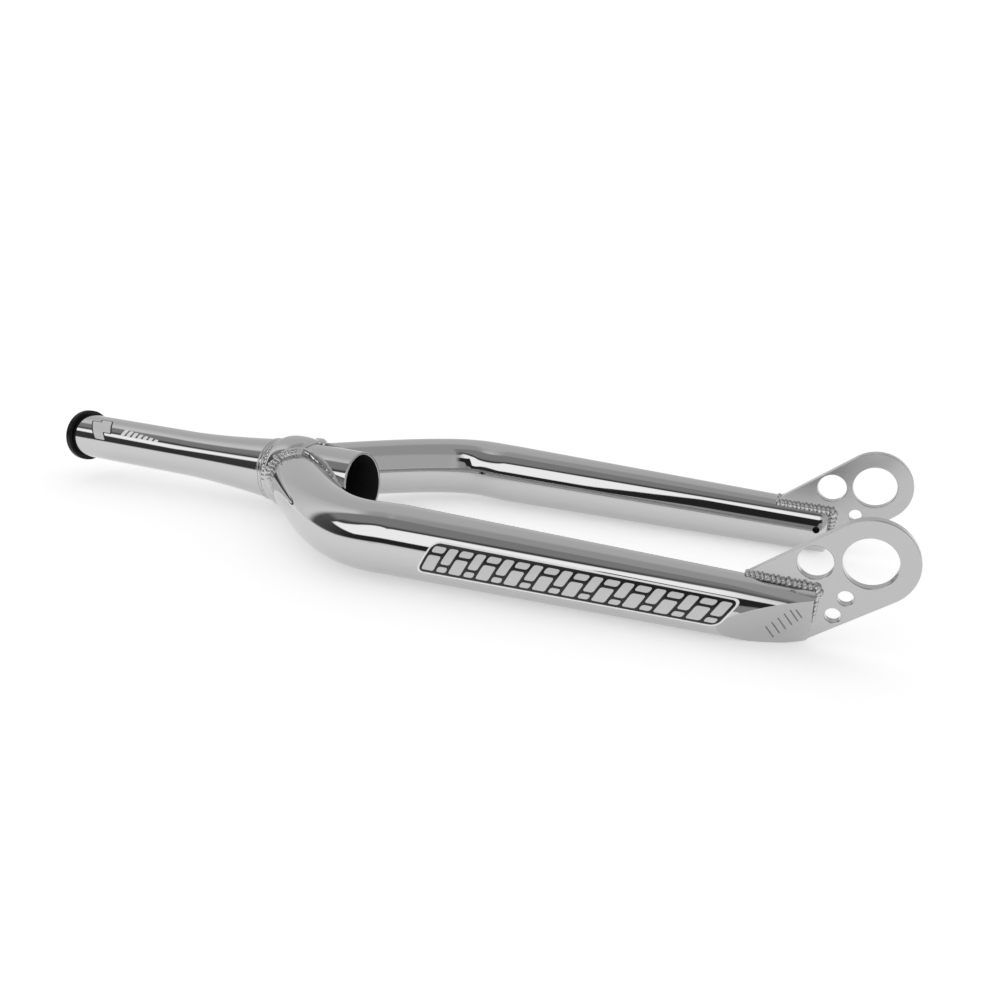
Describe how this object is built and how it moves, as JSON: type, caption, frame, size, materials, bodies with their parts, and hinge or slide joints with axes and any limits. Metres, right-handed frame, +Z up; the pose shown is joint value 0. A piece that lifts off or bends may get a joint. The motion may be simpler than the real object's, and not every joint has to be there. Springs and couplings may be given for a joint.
{
  "type": "bicycle fork",
  "caption": "Welded tubular fork for a small-wheel racing bicycle: flared steerer tube, two bent tapered legs, drilled axle plates and a preload cap, chrome plated",
  "frame": {"origin": "centre of the bounding box at ground level, with the fork lying on its crown race seat and the lower ends of its legs", "axes": "+X along the fork from the steerer towards the dropouts, +Y to the bicycle's left leg, +Z up"},
  "size_m": [0.5114, 0.172, 0.058],
  "materials": {
    "chrome_plate": "mirror-bright chrome plating",
    "weld_bead": "chrome plating over rippled weld beads",
    "black_anodised": "black, semi-gloss",
    "zinc_steel": "zinc-plated steel, satin",
    "printed_film": "printed transfer film, light grey with black edges"
  },
  "bodies": {
    "fork": {"steerer_tube": "chrome_plate", "crown_race_seat": "chrome_plate", "race_seat_weld": "weld_bead", "right_leg_tube": "chrome_plate", "left_leg_tube": "chrome_plate", "right_leg_outer_closer": "chrome_plate", "left_leg_outer_closer": "chrome_plate", "right_leg_inner_closer": "chrome_plate", "left_leg_inner_closer": "chrome_plate", "right_crown_weld": "weld_bead", "left_crown_weld": "weld_bead", "right_dropout": "chrome_plate", "left_dropout": "chrome_plate", "right_dropout_outer_weld": "weld_bead", "left_dropout_outer_weld": "weld_bead", "right_dropout_inner_weld": "weld_bead", "left_dropout_inner_weld": "weld_bead", "star_nut_barrel": "zinc_steel", "star_nut_upper_spring": "zinc_steel", "star_nut_lower_spring": "zinc_steel", "right_leg_decal": "printed_film", "left_leg_decal": "printed_film", "steerer_decal": "printed_film"},
    "cap": {"preload_cap": "black_anodised"},
    "bolt": {"preload_bolt": "zinc_steel"}
  },
  "joints": [
    {"name": "cap_lift", "type": "slide", "parent": "fork", "child": "cap", "axis": [-0.9995, 0, 0.0316], "range_m": [0, 0.02]},
    {"name": "bolt_turn", "type": "hinge", "parent": "cap", "child": "bolt", "pos_m": [-0.25492, 0, 0.02812], "axis": [-0.9995, 0, 0.0316], "range_deg": [0, 7200]}
  ],
  "couplings": [
    {"joint": "bolt_turn", "follows": "cap_lift", "rad_per_m": 6283.2}
  ]
}
